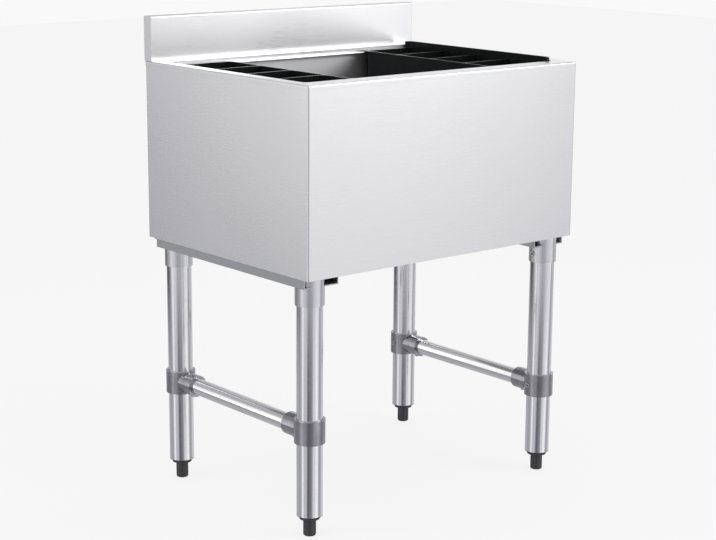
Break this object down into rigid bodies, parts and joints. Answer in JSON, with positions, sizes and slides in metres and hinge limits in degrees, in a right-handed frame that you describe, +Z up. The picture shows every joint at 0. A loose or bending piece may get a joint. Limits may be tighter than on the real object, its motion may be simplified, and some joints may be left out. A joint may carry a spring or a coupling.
{
  "type": "underbar ice bin",
  "caption": "Insulated stainless ice bin on braced tube legs, with a low backsplash, black bottle holders at both ends, a bottom drain and adjustable feet.",
  "frame": {"origin": "on the floor, under the middle of the outline", "axes": "+Z up; the front faces -Y; +X is to the right of someone who faces the front"},
  "size_m": [0.61, 0.466, 0.845],
  "materials": {
    "outer_steel": "fine brushed stainless sheet",
    "liner_steel": "brushed stainless sheet",
    "zinc_sheet": "galvanised sheet",
    "zinc_tube": "galvanised tube",
    "socket_steel": "galvanised steel",
    "clamp_iron": "dark cast metal",
    "fastener_steel": "zinc plated",
    "insert_plastic": "moulded black plastic",
    "foot_plastic": "moulded black plastic",
    "holder_plastic": "moulded black plastic, satin",
    "foam": "rigid foam board",
    "drain_metal": "plated",
    "nut_metal": "plated",
    "gasket_rubber": "rubber"
  },
  "bodies": {
    "bin": {"rim_frame": "outer_steel", "outer_wrap": "outer_steel", "backsplash": "outer_steel", "splash_end_caps": "outer_steel", "liner": "liner_steel", "rear_panel": "zinc_sheet", "bottom_pan": "zinc_sheet", "channel_left": "zinc_sheet", "channel_right": "zinc_sheet", "leg_front_left": "zinc_tube", "leg_front_right": "zinc_tube", "leg_rear_left": "zinc_tube", "leg_rear_right": "zinc_tube", "crossbar_left": "zinc_tube", "crossbar_right": "zinc_tube", "socket_front_left": "socket_steel", "socket_front_right": "socket_steel", "socket_rear_left": "socket_steel", "socket_rear_right": "socket_steel", "clamp_front_left": "clamp_iron", "clamp_front_right": "clamp_iron", "clamp_rear_left": "clamp_iron", "clamp_rear_right": "clamp_iron", "rear_rivets": "fastener_steel", "socket_rivets": "fastener_steel", "socket_screws": "fastener_steel", "clamp_screws": "fastener_steel", "insert_front_left": "insert_plastic", "insert_front_right": "insert_plastic", "insert_rear_left": "insert_plastic", "insert_rear_right": "insert_plastic", "foam_front": "foam", "foam_rear": "foam", "foam_left": "foam", "foam_right": "foam", "foam_floor": "foam", "drain_body": "drain_metal", "drain_nut": "nut_metal", "drain_gasket": "gasket_rubber"},
    "holder_left": {"holder_left": "holder_plastic"},
    "holder_right": {"holder_right": "holder_plastic"},
    "strainer": {"drain_strainer": "drain_metal"},
    "stem_front_left": {"stem_front_left": "fastener_steel"},
    "foot_front_left": {"foot_front_left": "foot_plastic"},
    "stem_front_right": {"stem_front_right": "fastener_steel"},
    "foot_front_right": {"foot_front_right": "foot_plastic"},
    "stem_rear_left": {"stem_rear_left": "fastener_steel"},
    "foot_rear_left": {"foot_rear_left": "foot_plastic"},
    "stem_rear_right": {"stem_rear_right": "fastener_steel"},
    "foot_rear_right": {"foot_rear_right": "foot_plastic"}
  },
  "joints": [
    {"name": "holder_left_lift", "type": "slide", "parent": "bin", "child": "holder_left", "axis": [0, 0, 1], "range_m": [0, 0.2]},
    {"name": "holder_right_lift", "type": "slide", "parent": "bin", "child": "holder_right", "axis": [0, 0, 1], "range_m": [0, 0.2]},
    {"name": "strainer_lift", "type": "slide", "parent": "bin", "child": "strainer", "axis": [0, 0, 1], "range_m": [0, 0.25]},
    {"name": "foot_front_left_travel", "type": "slide", "parent": "bin", "child": "stem_front_left", "axis": [0, 0, -1], "range_m": [0, 0.025]},
    {"name": "foot_front_left_turn", "type": "hinge", "parent": "stem_front_left", "child": "foot_front_left", "pos_m": [-0.2715, -0.195, 0], "axis": [0, 0, -1], "range_deg": [0, 5143]},
    {"name": "foot_front_right_travel", "type": "slide", "parent": "bin", "child": "stem_front_right", "axis": [0, 0, -1], "range_m": [0, 0.025]},
    {"name": "foot_front_right_turn", "type": "hinge", "parent": "stem_front_right", "child": "foot_front_right", "pos_m": [0.2715, -0.195, 0], "axis": [0, 0, -1], "range_deg": [0, 5143]},
    {"name": "foot_rear_left_travel", "type": "slide", "parent": "bin", "child": "stem_rear_left", "axis": [0, 0, -1], "range_m": [0, 0.025]},
    {"name": "foot_rear_left_turn", "type": "hinge", "parent": "stem_rear_left", "child": "foot_rear_left", "pos_m": [-0.2715, 0.185, 0], "axis": [0, 0, -1], "range_deg": [0, 5143]},
    {"name": "foot_rear_right_travel", "type": "slide", "parent": "bin", "child": "stem_rear_right", "axis": [0, 0, -1], "range_m": [0, 0.025]},
    {"name": "foot_rear_right_turn", "type": "hinge", "parent": "stem_rear_right", "child": "foot_rear_right", "pos_m": [0.2715, 0.185, 0], "axis": [0, 0, -1], "range_deg": [0, 5143]}
  ],
  "couplings": [
    {"joint": "foot_front_left_turn", "follows": "foot_front_left_travel", "rad_per_m": 3590.4},
    {"joint": "foot_front_right_turn", "follows": "foot_front_right_travel", "rad_per_m": 3590.4},
    {"joint": "foot_rear_left_turn", "follows": "foot_rear_left_travel", "rad_per_m": 3590.4},
    {"joint": "foot_rear_right_turn", "follows": "foot_rear_right_travel", "rad_per_m": 3590.4}
  ]
}
